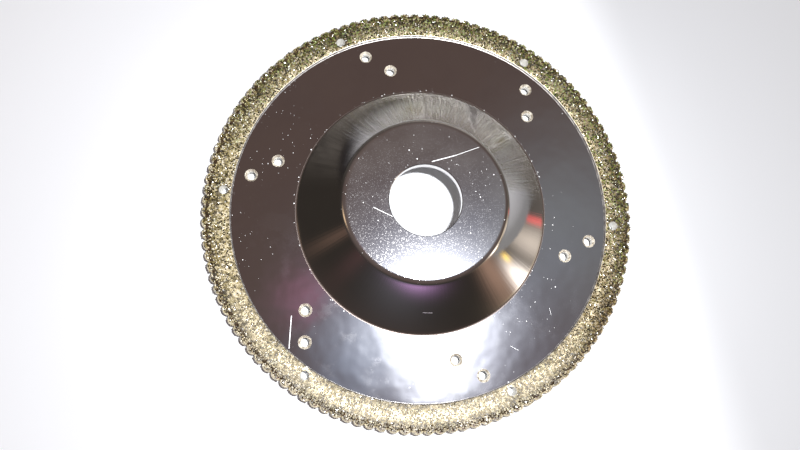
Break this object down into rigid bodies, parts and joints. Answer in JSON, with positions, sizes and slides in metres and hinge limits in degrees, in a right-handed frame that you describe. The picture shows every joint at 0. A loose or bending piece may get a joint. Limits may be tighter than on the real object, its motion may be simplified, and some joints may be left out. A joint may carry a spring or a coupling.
{
  "type": "diamond grinding wheel",
  "caption": "Pressed steel grinding wheel with a raised hollow hub, small vent holes, a diamond grit band on both faces and a beaded grit edge.",
  "frame": {"origin": "on the wheel's axis, in the plane of the back grit face that it lies on", "axes": "+Z along the wheel's axis, out of the raised side of the hub; +X through a vent of the grit band"},
  "size_m": [0.1, 0.1, 0.0112],
  "materials": {
    "polished_steel": "mirror-polished nickel plating with dust, fine scratches and handling marks",
    "nickel_bond": "bright brazed nickel, slightly lumpy",
    "diamond_grit": "coarse olive and gold diamond grains, sparkling"
  },
  "bodies": {
    "root": {"steel_core": "polished_steel", "rim_bead_ring": "nickel_bond", "front_bond_ring": "nickel_bond", "back_bond_ring": "nickel_bond", "front_grit_layer": "diamond_grit", "back_grit_layer": "diamond_grit"}
  },
  "joints": []
}
